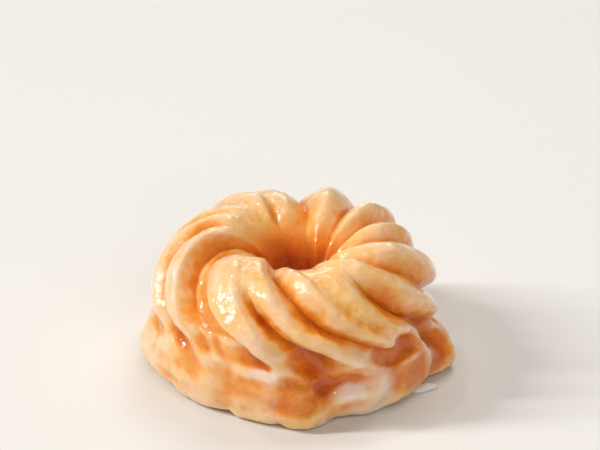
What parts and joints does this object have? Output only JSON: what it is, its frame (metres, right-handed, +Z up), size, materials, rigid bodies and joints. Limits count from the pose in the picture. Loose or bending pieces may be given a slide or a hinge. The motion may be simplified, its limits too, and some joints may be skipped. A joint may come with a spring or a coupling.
{
  "type": "cruller doughnut",
  "caption": "Fried choux pastry ring with deep ridges that twist round it, a narrow hole, a spread foot and a thin sugar glaze; it rests on its flat underside.",
  "frame": {"origin": "centre of the bounding box at the underside, the surface the doughnut rests on", "axes": "+Z up along the hole, +X across the widest part, the front with the broad ridges and the open foot faces -Y"},
  "size_m": [0.08, 0.0768, 0.0374],
  "materials": {
    "glazed_crust": "golden fried crust under a thin, glossy, partly clear sugar glaze"
  },
  "bodies": {
    "root": {"cruller": "glazed_crust"}
  },
  "joints": []
}
